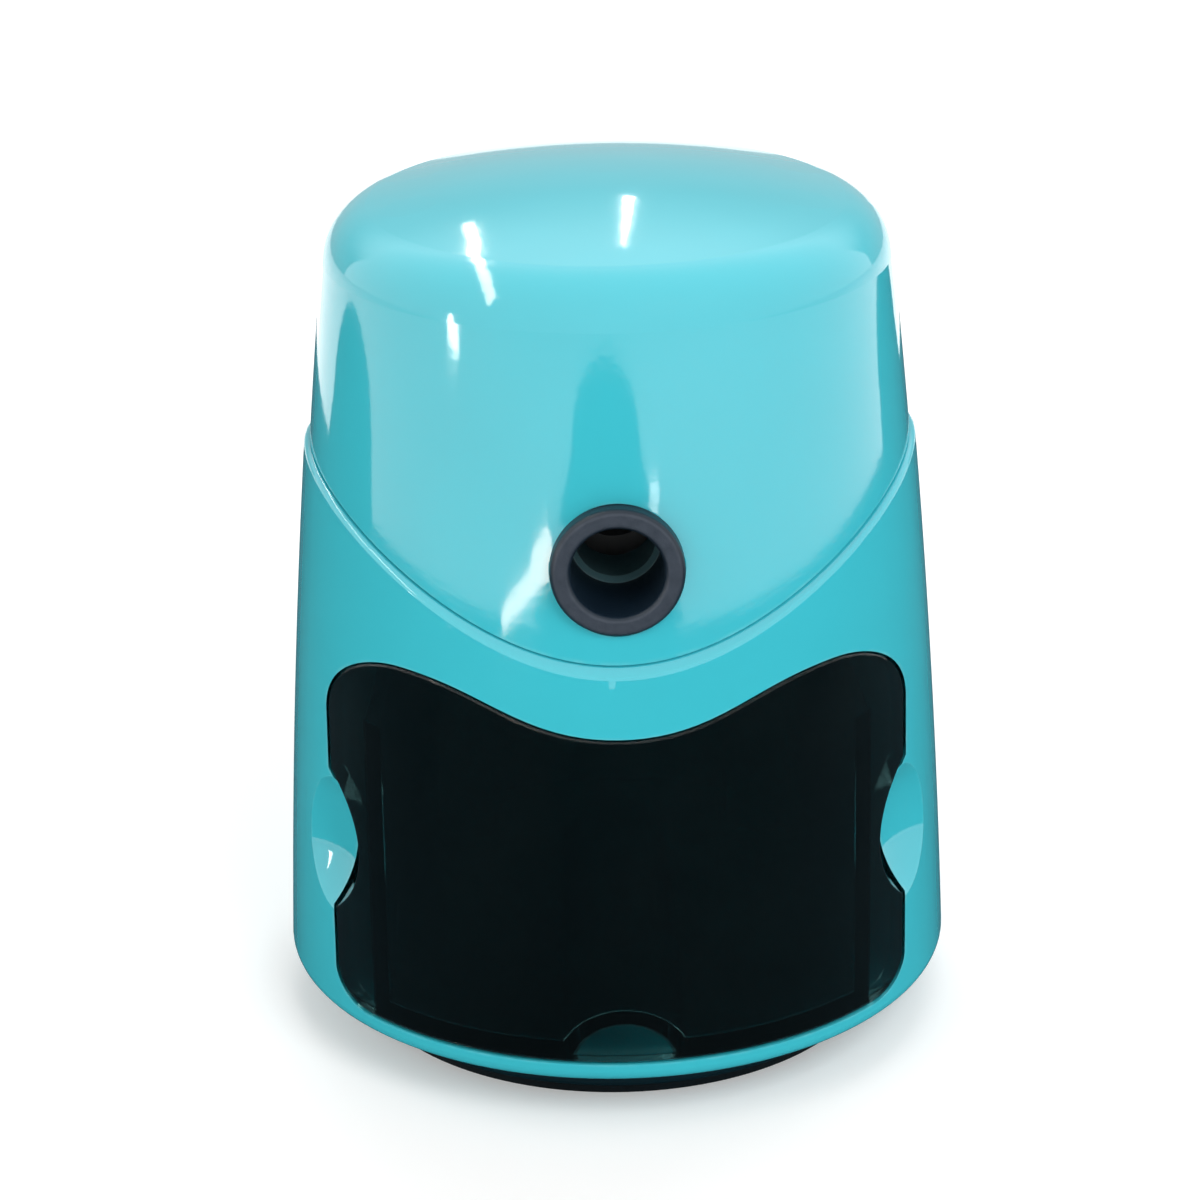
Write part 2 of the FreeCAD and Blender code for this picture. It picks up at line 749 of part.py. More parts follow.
def cutter_carrier():
    outline = [
        (0, journal_front_y), (journal_r, journal_front_y), (journal_r, journal_back_y),
        (carrier_neck_r, journal_back_y), (carrier_tail_r, carrier_back_y), (carrier_disc_r, carrier_back_y),
        (carrier_disc_r, boss_front_y), (carrier_boss_r, boss_front_y), (carrier_boss_r, boss_back_y),
        (0, boss_back_y),
    ]
    body = revolve_y(outline)
    mouth_r = pencil_bore_r + pencil_cone_gap
    tip_r = cutter_tip_offset + pencil_cone_gap
    cone = revolve_y([
        (0, journal_front_y), (mouth_r, journal_front_y), (mouth_r, journal_back_y),
        (tip_r, cutter_tip_y), (0, cutter_tip_y),
    ])
    pocket = cutter_rod(cutter_r + pocket_gap, along_cutter(carrier_back_y), along_cutter(journal_back_y))
    width = cutter_r + pocket_gap
    way_out = block(-width, width, -outer_reach, 0, 0, outer_reach)
    way_out.rotate(Vector(0, 0, 0), X_AXIS, -cutter_tilt)
    way_out.translate(apex)
    between = block(-outer_reach, outer_reach, journal_back_y, carrier_back_y, 0, 3 * outer_reach)
    pocket = pocket.fuse(way_out).common(between)
    window_front_y = journal_back_y + carrier_window_margin
    window_back_y = carrier_back_y - carrier_window_margin
    trough_r = mouth_r + trough_wall
    window = revolve_y([
        (trough_r, window_front_y), (journal_r, window_front_y),
        (journal_r, window_back_y), (trough_r, window_back_y),
    ])
    window = window.common(block(-outer_reach, outer_reach, window_front_y, window_back_y,
                                 axis_z - carrier_window_half, axis_z + carrier_window_half))
    spindle_hole = cutter_rod(spindle_r + run_gap, along_cutter(boss_front_y), along_cutter(gear_front_y))
    shaft_hole = rod_y(shaft_r + press_gap, boss_front_y + carrier_end_wall, boss_back_y)
    return body.cut([cone, pocket, window, spindle_hole, shaft_hole])


def mechanism_frame():
    front_y = gear_back_y
    back_y = front_y + frame_ring_thickness
    ring = lug_plate(front_y, back_y, journal_r + run_gap, ring_outer_r())
    ring = ring.cut(lug_holes(screw_r + screw_pilot_gap, front_y, back_y))
    plate_low_z = frame_beam_low_z
    plate_high_z = frame_tab_z + frame_tab_thickness
    parts = [block(-rear_plate_half, rear_plate_half, plate_front_y, plate_back_y, plate_low_z, plate_high_z)]
    for side in (-1, 1):
        inner_x = side * frame_beam_x
        outer_x = side * (frame_beam_x + frame_beam_thickness)
        end_x = side * rear_plate_half
        end_inner_x = side * (rear_plate_half - frame_beam_thickness)
        outline = [
            Vector(inner_x, front_y, plate_low_z), Vector(outer_x, front_y, plate_low_z),
            Vector(outer_x, frame_bend_y, plate_low_z), Vector(end_x, plate_back_y, plate_low_z),
            Vector(end_inner_x, plate_front_y, plate_low_z),
            Vector(inner_x, frame_bend_y - frame_beam_thickness / 2, plate_low_z),
        ]
        face = Part.Face(Part.makePolygon(outline + outline[:1]))
        parts.append(face.extrude(Vector(0, 0, plate_high_z - plate_low_z)))
    for x, y in frame_post_places():
        tab_top = frame_tab_z + frame_tab_thickness
        parts.append(rod_z(frame_tab_r, frame_tab_z, tab_top, x, y))
        side = math.copysign(1, x)
        near_x = side * frame_beam_x
        parts.append(block(min(near_x, x), max(near_x, x), y - frame_tab_r, y + frame_tab_r, frame_tab_z, tab_top))
    body = ring.fuse(parts)
    holes = [rod_z(screw_r + screw_hole_gap, frame_tab_z, dome_top_z, x, y) for x, y in frame_post_places()]
    holes.append(rod_y(bush_r + press_gap, plate_front_y, plate_back_y))
    holes.append(rod_y(journal_r + run_gap, front_y, back_y))
    return body.cut(holes)


def rear_bushing():
    flange = rod_y(bush_flange_r, plate_front_y - bush_flange, plate_front_y)
    sleeve = rod_y(bush_r, plate_front_y, bush_back_y)
    return flange.fuse(sleeve).cut(rod_y(shaft_r + run_gap, plate_front_y - bush_flange, bush_back_y))


def drive_shaft():
    shaft = rod_y(shaft_r, boss_front_y + carrier_end_wall, shaft_end_y)
    groove = rod_y(shaft_r + cut_over, clip_front_y - run_gap, clip_front_y + clip_thickness + run_gap)
    shaft = shaft.cut(groove.cut(rod_y(shaft_r - clip_groove, clip_front_y - cut_over, clip_front_y + clip_thickness + cut_over)))
    flat_x = shaft_r - shaft_flat
    for side in (-1, 1):
        low_x = min(side * flat_x, side * 2 * shaft_r)
        shaft = shaft.cut(block(low_x, low_x + 2 * shaft_r - flat_x, hub_front_y, shaft_end_y,
                                axis_z - shaft_r, axis_z + shaft_r))
    pilot = rod_y(screw_r + screw_pilot_gap, shaft_end_y - 2 * screw_grip, shaft_end_y)
    return shaft.cut(pilot)


def shaft_clip():
    back_y = clip_front_y + clip_thickness
    ring = rod_y(clip_r, clip_front_y, back_y).cut(rod_y(shaft_r - clip_groove + run_gap, clip_front_y, back_y))
    mouth = block(-clip_slot / 2, clip_slot / 2, clip_front_y, back_y, axis_z - 2 * clip_r, axis_z)
    return ring.cut(mouth)


def crank_arm():
    hub = rod_y(hub_r, hub_front_y, hub_back_y)
    eye = rod_y(arm_end_r, arm_front_y, hub_back_y, 0, crank_pin_z)
    outline = [
        Vector(-hub_r, arm_front_y, axis_z), Vector(hub_r, arm_front_y, axis_z),
        Vector(arm_end_r, arm_front_y, crank_pin_z), Vector(-arm_end_r, arm_front_y, crank_pin_z),
    ]
    blade = Part.Face(Part.makePolygon(outline + outline[:1])).extrude(Vector(0, arm_thickness, 0))
    arm = hub.fuse([eye, blade]).removeSplitter()
    inset = [
        Vector(-hub_r + arm_rim, hub_back_y - arm_rib, axis_z - hub_r - arm_rim),
        Vector(hub_r - arm_rim, hub_back_y - arm_rib, axis_z - hub_r - arm_rim),
        Vector(arm_end_r - arm_rim, hub_back_y - arm_rib, crank_pin_z + arm_end_r + arm_rim),
        Vector(-arm_end_r + arm_rim, hub_back_y - arm_rib, crank_pin_z + arm_end_r + arm_rim),
    ]
    panel = Part.Face(Part.makePolygon(inset + inset[:1])).extrude(Vector(0, arm_rib, 0))
    panel = panel.makeFillet(arm_rim, [e for e in panel.Edges if e.BoundBox.YLength > arm_rib / 2
                                       and e.BoundBox.ZLength < 0.01])
    arm = arm.cut(panel)
    flat_x = shaft_r - shaft_flat + press_gap
    socket = rod_y(shaft_r + press_gap, hub_front_y, shaft_end_y)
    socket = socket.common(block(-flat_x, flat_x, hub_front_y, shaft_end_y, 0, outer_reach))
    head_room = rod_y(screw_head_r + screw_hole_gap, shaft_end_y, hub_back_y)
    pin_hole = rod_y(pin_r + press_gap, arm_front_y, hub_back_y, 0, crank_pin_z)
    return arm.cut([socket, head_room, pin_hole])


def crank_screw():
    return screw(Vector(0, shaft_end_y, axis_z), Vector(0, -1, 0), screw_grip)


def crank_knob():
    waist = knob_front_y + knob_waist
    belly = knob_front_y + knob_belly
    crown = knob_back_y - pin_head - knob_gap

    def point(r, y):
        return Vector(0, y, crank_pin_z + r)

    bore = pin_r + run_gap
    side = Part.BSplineCurve()
    side.interpolate([point(knob_foot_r, knob_front_y), point(knob_neck_r, waist),
                      point(knob_r, belly), point(knob_end_r, knob_back_y)])
    seat = pin_head_r + knob_gap
    loop = [
        side.toShape(),
        Part.makeLine(point(knob_end_r, knob_back_y), point(seat, knob_back_y)),
        Part.makeLine(point(seat, knob_back_y), point(seat, crown)),
        Part.makeLine(point(seat, crown), point(bore, crown)),
        Part.makeLine(point(bore, crown), point(bore, knob_front_y)),
        Part.makeLine(point(bore, knob_front_y), point(knob_foot_r, knob_front_y)),
    ]
    return Part.Face(Part.Wire(loop)).revolve(Vector(0, 0, crank_pin_z), Y_AXIS, 360)


def knob_pin():
    head_front = knob_back_y - pin_head - knob_gap + run_gap
    stem = rod_y(pin_r, arm_front_y, head_front, 0, crank_pin_z)
    head = rod_y(pin_head_r, head_front, head_front + pin_head, 0, crank_pin_z)
    rim = [e for e in head.Edges if e.BoundBox.YMin > head_front + pin_head / 2]
    head = head.makeFillet(pin_head / 3, rim)
    return stem.fuse(head)


def drawer():
    outer = barrel(front_recess, barrel_bottom_z, dome_top_z)
    inner = barrel(front_recess + front_thickness, barrel_bottom_z - cut_over, dome_top_z)
    front = outer.cut(inner).common(drawer_prism(0, drawer_split_y))
    top_room = bin_top_z + cut_over
    tray = block(-bin_half_width, bin_half_width, -barrel_bottom_r, bin_back_y, drawer_bottom_z, bin_top_z)
    rear = [e for e in tray.Edges if e.BoundBox.ZLength > 1 and e.BoundBox.YMin > 0]
    tray = tray.makeFillet(bin_corner_r, rear)
    room = block(-bin_half_width + bin_wall, bin_half_width - bin_wall, -barrel_bottom_r, bin_back_y - bin_wall,
                 drawer_bottom_z + bin_floor, top_room)
    rear = [e for e in room.Edges if e.BoundBox.ZLength > 1 and e.BoundBox.YMin > 0]
    room = room.makeFillet(bin_corner_r - bin_wall, rear)
    room = room.cut(rail(rail_gap + bin_floor, -barrel_bottom_r, bin_back_y))
    behind = barrel(front_recess + front_thickness / 2, barrel_bottom_z - cut_over, dome_top_z)
    tray = tray.cut(room).common(behind)
    tunnel = rail(rail_gap, -barrel_bottom_r, bin_back_y).common(inner)
    foot_gap = block(-outer_reach, outer_reach, -outer_reach, outer_reach, 0, drawer_bottom_z)
    return front.fuse(tray).cut([tunnel, foot_gap])


def base_plate():
    plate = rod_z(base_r, base_lift, barrel_bottom_z, 0, 0)
    low = [e for e in plate.Edges if e.BoundBox.ZMax < base_lift + 0.01]
    plate = plate.makeFillet(base_edge_round, low)
    removed = [rod_z(pad_r + pad_gap, base_lift, base_lift + pad_recess, 0, 0)]
    for x, y in base_screw_places():
        removed.append(rod_z(base_boss_r + run_gap, barrel_bottom_z - base_boss_depth, barrel_bottom_z, x, y))
        removed.append(rod_z(screw_r + screw_hole_gap, base_lift, barrel_bottom_z, x, y))
    return plate.cut(removed)


def foot_pad():
    pad = rod_z(pad_r, 0, base_lift + pad_recess, 0, 0)
    holes = [rod_z(screw_head_r + 2 * screw_hole_gap, 0, base_lift + pad_recess, x, y)
             for x, y in base_screw_places()]
    return pad.cut(holes)


def base_screws():
    seat_z = base_lift + pad_recess
    return [screw(Vector(x, y, seat_z), Z_AXIS, barrel_bottom_z - base_boss_depth - seat_z + base_screw_grip())
            for x, y in base_screw_places()]


def cover_screws():
    seat_z = cover_post_top_z - cover_post_web
    return [screw(Vector(x, y, seat_z), Z_AXIS, cover_post_web + cover_boss_gap + screw_grip)
            for x, y in cover_post_places()]


def frame_screws():
    return [screw(Vector(x, y, frame_tab_z), Z_AXIS, frame_tab_thickness + screw_grip - screw_pilot_gap)
            for x, y in frame_post_places()]


def guide_screws():
    seat_y = guide_face_y + guide_hub_length - guide_thickness
    grip = gear_back_y - seat_y + frame_ring_thickness - frame_ring_gap
    one = screw(Vector(0, seat_y, axis_z + lug_circle_r), Y_AXIS, grip)
    return [around_y(one, angle) for angle in lug_angles()]


def main():
    os.makedirs("parts", exist_ok=True)
    single = [
        lower_housing, upper_cover, port_bezel, drawer, base_plate, foot_pad, pencil_guide, ring_gear,
        mechanism_frame, cutter_carrier, helical_cutter, cutter_pinion, cutter_spindle, drive_shaft,
        rear_bushing, shaft_clip, crank_arm, crank_screw, crank_knob, knob_pin,
    ]
    for make in single:
        save(make.__name__, make())
    for make in (base_screws, cover_screws, frame_screws, guide_screws):
        save(make.__name__, Part.makeCompound(make()))


main()
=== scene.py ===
import math

import bmesh
import bpy
from mathutils import Matrix, Vector

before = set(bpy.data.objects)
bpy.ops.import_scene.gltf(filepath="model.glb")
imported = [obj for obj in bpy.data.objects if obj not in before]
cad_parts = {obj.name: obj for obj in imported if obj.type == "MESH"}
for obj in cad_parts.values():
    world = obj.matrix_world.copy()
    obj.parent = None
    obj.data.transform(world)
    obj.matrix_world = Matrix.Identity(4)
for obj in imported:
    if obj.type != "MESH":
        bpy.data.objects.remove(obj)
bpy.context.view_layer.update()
scene = bpy.context.scene
scene.view_settings.view_transform = "Standard"


# The camera stands a little to the left and above, as a hand would hold it, with a long
# lens. The frame is a square cut below the middle of a taller picture.
camera_data = bpy.data.cameras.new("photo_camera")
camera_data.sensor_width = 36.0
camera_data.lens = 102.85
camera_data.shift_x = -0.0092
camera_data.shift_y = -0.0656
camera_data.clip_start = 0.01
camera = bpy.data.objects.new("photo_camera", camera_data)
scene.collection.objects.link(camera)
stand = Vector((-0.006213, -0.355908, 0.190129))
aim = Vector((0.0, 0.0, 0.055147))
lean = math.radians(-0.874)
back = (stand - aim).normalized()
level = Vector((0, 0, 1)).cross(back).normalized()
upright = back.cross(level)
right = level * math.cos(lean) + upright * math.sin(lean)
above = upright * math.cos(lean) - level * math.sin(lean)
camera.matrix_world = Matrix((
    (right.x, above.x, back.x, stand.x),
    (right.y, above.y, back.y, stand.y),
    (right.z, above.z, back.z, stand.z),
    (0, 0, 0, 1),
))
scene.camera = camera


# The table is a wide sheet of white card that carries the sharpener's soft shadow. It is
# lifted to white where it is looked at, and further where the gloss mirrors it.
def put(tree, kind, values=None, **settings):
    made = tree.nodes.new("ShaderNode" + kind)
    for name, value in settings.items():
        setattr(made, name, value)
    for name, value in (values or {}).items():
        if isinstance(value, bpy.types.NodeSocket):
            tree.links.new(value, made.inputs[name])
        else:
            made.inputs[name].default_value = value
    return made


def new_finish(name):
    finish = bpy.data.materials.new(name)
    finish.use_nodes = True
    finish.node_tree.nodes.clear()
    return finish, finish.node_tree


def seen_or_seen_through(tree, ray):
    either = {0: ray.outputs["Is Camera Ray"], 1: ray.outputs["Is Transmission Ray"]}
    return put(tree, "Math", either, operation="MAXIMUM").outputs[0]


white = (1, 1, 1, 1)
card_half = 6.0
seen_lift = 0.3
gloss_lift = 0.8
white_card, tree = new_finish("white_card")
paper = put(tree, "BsdfPrincipled", {
    "Base Color": (0.8, 0.8, 0.8, 1), "Roughness": 0.9, "Specular IOR Level": 0.1,
})
ray = put(tree, "LightPath")
seen = seen_or_seen_through(tree, ray)
shine = put(tree, "Math", {0: ray.outputs["Is Glossy Ray"], 1: gloss_lift}, operation="MULTIPLY")
lift = put(tree, "Math", {0: seen, 1: seen_lift, 2: shine.outputs[0]}, operation="MULTIPLY_ADD")
glow = put(tree, "Emission", {"Color": white, "Strength": lift.outputs[0]})
both = put(tree, "AddShader", {0: paper.outputs[0], 1: glow.outputs[0]})
put(tree, "OutputMaterial", {"Surface": both.outputs[0]})
card_mesh = bpy.data.meshes.new("white_card")
sheet = bmesh.new()
bmesh.ops.create_grid(sheet, x_segments=2, y_segments=2, size=card_half)
sheet.to_mesh(card_mesh)
sheet.free()
card = bpy.data.objects.new("white_card", card_mesh)
card_mesh.materials.append(white_card)
scene.collection.objects.link(card)


# The room is a white tent: a pale surround that fills the shadows, with one large soft
# lamp high at the front right, a weak warm one at the left and one behind for the dome.
gloss_gain = 1.1
tent = bpy.data.worlds.new("white_tent")
tent.use_nodes = True
tree = tent.node_tree
tree.nodes.clear()
ray = put(tree, "LightPath")
seen = seen_or_seen_through(tree, ray)
plain = put(tree, "MapRange", {"Value": seen, "To Min": 0.6, "To Max": 1.0})
sheen = put(tree, "Math", {
    0: ray.outputs["Is Glossy Ray"], 1: gloss_gain, 2: plain.outputs[0],
}, operation="MULTIPLY_ADD")
surround = put(tree, "Background", {"Color": white, "Strength": sheen.outputs[0]})
put(tree, "OutputWorld", {"Surface": surround.outputs[0]})
scene.world = tent

lamp_aim = Vector((0, 0, 0.07))


def soft_lamp(name, place, width, height, colour, power):
    lamp_data = bpy.data.lights.new(name, "AREA")
    lamp_data.shape = "RECTANGLE"
    lamp_data.size = width
    lamp_data.size_y = height
    lamp_data.color = colour
    lamp_data.energy = power
    lamp = bpy.data.objects.new(name, lamp_data)
    lamp.location = place
    lamp.rotation_mode = "QUATERNION"
    lamp.rotation_quaternion = (Vector(place) - lamp_aim).to_track_quat("Z", "Y")
    lamp.visible_camera = False
    lamp.visible_glossy = False
    scene.collection.objects.link(lamp)


soft_lamp("key_lamp", place=(0.45, -0.75, 0.85), width=0.6, height=0.6,
          colour=(1.0, 1.0, 1.0), power=5.8)
soft_lamp("warm_lamp", place=(-0.75, -0.45, 0.55), width=0.5, height=0.6,
          colour=(1.0, 0.93, 0.84), power=1.8)
soft_lamp("crown_lamp", place=(0.1, 0.5, 0.9), width=0.7, height=0.4,
          colour=(1.0, 1.0, 1.0), power=3.4)


# Dark mat. Only the gloss of the pieces sees it: it keeps the white card out of the black
# drawer and the bezel. Three flags of the same cloth, each with a strip of it on the floor
# in front, make the soft dark lobes on the cover.
def surface(tree, values):
    shader = put(tree, "BsdfPrincipled", values)
    put(tree, "OutputMaterial", {"Surface": shader.outputs[0]})


def gloss_card(name, corners, finish, faces=None):
    flat_mesh = bpy.data.meshes.new(name)
    flat_mesh.from_pydata(corners, [], faces or [list(range(len(corners)))])
    flat_mesh.materials.append(finish)
    flat = bpy.data.objects.new(name, flat_mesh)
    flat.visible_camera = False
    flat.visible_diffuse = False
    flat.visible_shadow = False
    scene.collection.objects.link(flat)


mat_cloth, tree = new_finish("mat_cloth")
where = put(tree, "TexCoord").outputs["Object"]
nap = put(tree, "TexNoise", {"Vector": where, "Scale": 9.0, "Detail": 4.0})
pile = put(tree, "ValToRGB", {"Fac": nap.outputs["Fac"]})
pile.color_ramp.elements[0].color = (0.02, 0.06, 0.08, 1)
pile.color_ramp.elements[1].color = (0.09, 0.14, 0.16, 1)
surface(tree, {"Base Color": pile.outputs[0], "Roughness": 0.9, "Specular IOR Level": 0.0})

mat_radius = 0.27
mat_height = 0.0008
gloss_card("dark_mat", [
    (mat_radius * math.sin(turn), mat_radius * math.cos(turn), mat_height)
    for turn in (math.radians(angle) for angle in range(0, 360, 6))
], mat_cloth)

flag_foot = 0.001
strip_near = 0.25
arch_turns = [math.radians(angle) for angle in range(0, 181, 15)]
arch = list(range(len(arch_turns)))
floor_strip = (arch[0], arch[-1], arch[-1] + 1, arch[-1] + 2)
for name, heading, distance, half_width, rise in (
    ("front_flag", -2.5, 0.55, 0.12, 0.034),
    ("left_flag", -112.0, 0.30, 0.08, 0.030),
    ("right_flag", 133.0, 0.30, 0.07, 0.026),
):
    out = Vector((math.sin(math.radians(heading)), -math.cos(math.radians(heading)), 0.0))
    across = Vector((-out.y, out.x, 0.0)) * half_width
    corners = [
        out * distance + across * math.cos(turn)
        + Vector((0, 0, flag_foot + rise * math.sin(turn))) for turn in arch_turns
    ]
    corners += [out * strip_near + across * side + Vector((0, 0, flag_foot)) for side in (-1, 1)]
    gloss_card(name, corners, mat_cloth, [arch, floor_strip])


# Rear wall. The far side of the room, greyer low down and white at the ceiling. It is
# seen only in the gloss of the dome.
wall_away = 2.3
wall_half = 3.0
wall_foot = 0.02
wall_top = 2.2
pale_wall, tree = new_finish("pale_wall")
where = put(tree, "TexCoord").outputs["Object"]
height = put(tree, "SeparateXYZ", {"Vector": where}).outputs["Z"]
climb = put(tree, "MapRange", {
    "Value": height, "From Min": 0.9, "From Max": wall_top,
}, interpolation_type="SMOOTHSTEP")
plaster = put(tree, "TexNoise", {"Vector": where, "Scale": 3.0, "Detail": 3.0})
uneven = put(tree, "MapRange", {"Value": plaster.outputs["Fac"], "To Min": -0.05, "To Max": 0.05})
fade = put(tree, "Math", {0: climb.outputs[0], 1: uneven.outputs[0]}, operation="ADD")
wash = put(tree, "ValToRGB", {"Fac": fade.outputs[0]})
wash.color_ramp.elements[0].color = (0.34, 0.34, 0.34, 1)
wash.color_ramp.elements[1].color = white
wall = put(tree, "Emission", {"Color": wash.outputs[0], "Strength": 1.7})
put(tree, "OutputMaterial", {"Surface": wall.outputs[0]})
gloss_card("rear_wall", [
    (-wall_half, wall_away, wall_foot), (wall_half, wall_away, wall_foot),
    (wall_half, wall_away, wall_top), (-wall_half, wall_away, wall_top),
], pale_wall)


# Bent tubes under the ceiling and small bright panes at table height. Only the gloss sees
# them too: they draw the sharp streaks on the shoulder and beside the port. Each is a
# ribbon, given by pairs of points across it.
def bright_strip(name, pairs, colour, strength):
    glowing, tree = new_finish(name)
    glow = put(tree, "Emission", {"Color": colour, "Strength": strength})
    put(tree, "OutputMaterial", {"Surface": glow.outputs[0]})
    corners = [corner for pair in pairs for corner in pair]
    ribbon = [(2 * i, 2 * i + 1, 2 * i + 3, 2 * i + 2) for i in range(len(pairs) - 1)]
    gloss_card(name, corners, glowing, ribbon)


bright_strip("long_tube", [
    ((-0.181, 1.219, 0.737), (-0.167, 1.218, 0.741)),
    ((-0.186, 1.174, 0.810), (-0.169, 1.179, 0.805)),
    ((-0.189, 1.127, 0.877), (-0.171, 1.136, 0.868)),
    ((-0.190, 1.095, 0.918), (-0.172, 1.100, 0.915)),
    ((-0.395, 0.714, 1.219), (-0.273, 0.880, 1.130)),
    ((-0.577, 0.328, 1.323), (-0.467, 0.445, 1.330)),
    ((-0.754, -0.099, 1.277), (-0.616, 0.069, 1.350)),
    ((-0.882, -0.455, 1.100), (-0.735, -0.260, 1.266)),
    ((-0.976, -0.778, 0.773), (-0.826, -0.537, 1.108)),
], colour=(1.0, 0.97, 0.86, 1), strength=14.0)
bright_strip("short_tube", [
    ((0.044, 1.275, 0.652), (0.061, 1.272, 0.657)),
    ((0.043, 1.188, 0.808), (0.057, 1.188, 0.808)),
    ((0.040, 1.101, 0.929), (0.048, 1.089, 0.944)),
], colour=white, strength=11.0)
bright_strip("side_pane", [
    ((-0.331, -0.173, 0.134), (-0.327, -0.176, 0.145)),
    ((-0.333, -0.169, 0.045), (-0.323, -0.192, 0.065)),
    ((-0.333, -0.171, 0.0425), (-0.318, -0.197, 0.0451)),
    ((-0.328, -0.179, 0.0404), (-0.316, -0.200, 0.0425)),
    ((-0.322, -0.191, 0.0387), (-0.316, -0.200, 0.0399)),
], colour=(1.0, 1.0, 0.98, 1), strength=20.0)
bright_strip("port_pane", [
    ((0.059, -0.273, 0.0325), (0.074, -0.269, 0.0327)),
    ((0.061, -0.272, 0.0281), (0.076, -0.268, 0.0273)),
], colour=white, strength=9.0)
bright_strip("warm_pane", [
    ((-0.0842, -0.213, 0.0281), (-0.0878, -0.2115, 0.0316)),
    ((-0.0842, -0.213, 0.0217), (-0.105, -0.203, 0.0267)),
    ((-0.114, -0.197, 0.0144), (-0.110, -0.200, 0.0218)),
    ((-0.138, -0.179, 0.0086), (-0.132, -0.185, 0.0160)),
    ((-0.1405, -0.178, 0.0100), (-0.141, -0.1775, 0.0116)),
], colour=(1.0, 0.80, 0.70, 1), strength=13.0)


# Lower housing. A turquoise tub moulded in glossy ABS, with the drawer's opening cut
# through its front, a finger scoop at each side and a rolled rim where the cover sits.
def new_group(name, inputs, outputs):
    group = bpy.data.node_groups.new(name, "ShaderNodeTree")
    for label, kind, value in inputs:
        group.interface.new_socket(label, in_out="INPUT", socket_type=kind).default_value = value
    for label, kind in outputs:
        group.interface.new_socket(label, in_out="OUTPUT", socket_type=kind)
    given = group.nodes.new("NodeGroupInput").outputs
    gives = group.nodes.new("NodeGroupOutput").inputs
    return group, given, gives


# A moulded skin: the faint unevenness of colour, the shallow waves of a shrunk wall,
# and fine scuffs from handling that dull the gloss here and there.
wave_height = 3.0
moulded_skin, given, gives = new_group("moulded_skin", [
    ("Colour", "NodeSocketColor", (0.5, 0.5, 0.5, 1)),
    ("Mottle", "NodeSocketFloat", 0.05),
    ("Roughness", "NodeSocketFloat", 0.2),
    ("Scuffs", "NodeSocketFloat", 0.1),
    ("Grain", "NodeSocketFloat", 700.0),
], [("Colour", "NodeSocketColor"), ("Roughness", "NodeSocketFloat"), ("Height", "NodeSocketFloat")])
tree = moulded_skin
where = put(tree, "TexCoord").outputs["Object"]
clouds = put(tree, "TexNoise", {"Vector": where, "Scale": 38.0, "Detail": 3.0, "Roughness": 0.55})
shade = put(tree, "MapRange", {
    "Value": clouds.outputs["Fac"], "From Min": 0.3, "From Max": 0.7, "To Min": -1.0,
})
depth = put(tree, "Math", {0: shade.outputs[0], 1: given["Mottle"]}, operation="MULTIPLY")
value = put(tree, "Math", {0: depth.outputs[0], 1: 1.0}, operation="ADD")
toned = put(tree, "HueSaturation", {"Value": value.outputs[0], "Color": given["Colour"]})
drawn = put(tree, "Mapping", {
    "Vector": where, "Rotation": (0.4, 0.9, 0.3), "Scale": (900.0, 900.0, 45.0),
})
hair = put(tree, "TexNoise", {"Vector": drawn.outputs[0], "Scale": 1.0, "Detail": 2.0})
lines = put(tree, "MapRange", {"Value": hair.outputs["Fac"], "From Min": 0.66, "From Max": 0.74})
patches = put(tree, "TexNoise", {"Vector": where, "Scale": 60.0, "Detail": 2.0})
handled = put(tree, "MapRange", {
    "Value": patches.outputs["Fac"], "From Min": 0.45, "From Max": 0.7,
})
rub_and_lit_face = put(tree, "Math", {0: lines.outputs[0], 1: handled.outputs[0]}, operation="MULTIPLY")
dulled = put(tree, "Math", {
    0: rub_and_lit_face.outputs[0], 1: given["Scuffs"], 2: given["Roughness"],
}, operation="MULTIPLY_ADD")
peel = put(tree, "TexNoise", {"Vector": where, "Scale": given["Grain"], "Detail": 2.0})
waves = put(tree, "TexNoise", {"Vector": where, "Scale": 55.0, "Detail": 1.0})
relief = put(tree, "Math", {
    0: waves.outputs["Fac"], 1: wave_height, 2: peel.outputs["Fac"],
}, operation="MULTIPLY_ADD")
tree.links.new(toned.outputs[0], gives["Colour"])
tree.links.new(dulled.outputs[0], gives["Roughness"])
tree.links.new(relief.outputs[0], gives["Height"])

# Edge wear: corners that hands and tables rub lose their colour or their gloss. The mask
# is the turn between the true surface and one with its edges rounded over.
edge_wear, given, gives = new_group("edge_wear", [
    ("Reach", "NodeSocketFloat", 0.0006),
    ("Amount", "NodeSocketFloat", 0.5),
], [("Mask", "NodeSocketFloat")])
tree = edge_wear
rounded = put(tree, "Bevel", {"Radius": given["Reach"]}, samples=6)
true_normal = put(tree, "NewGeometry").outputs["Normal"]
facing = put(tree, "VectorMath", {0: rounded.outputs[0], 1: true_normal}, operation="DOT_PRODUCT")
corner = put(tree, "MapRange", {
    "Value": facing.outputs["Value"], "From Min": 0.995, "From Max": 0.9,
})
where = put(tree, "TexCoord").outputs["Object"]
spots = put(tree, "TexNoise", {"Vector": where, "Scale": 420.0, "Detail": 3.0})
broken = put(tree, "MapRange", {"Value": spots.outputs["Fac"], "From Min": 0.35, "From Max": 0.65})
rub = put(tree, "Math", {0: corner.outputs[0], 1: broken.outputs[0]}, operation="MULTIPLY")
mask = put(tree, "Math", {0: rub.outputs[0], 1: given["Amount"]}, operation="MULTIPLY")
tree.links.new(mask.outputs[0], gives["Mask"])


def use_group(tree, group, values):
    made = tree.nodes.new("ShaderNodeGroup")
    made.node_tree = group
    for name, value in values.items():
        made.inputs[name].default_value = value
    return made.outputs


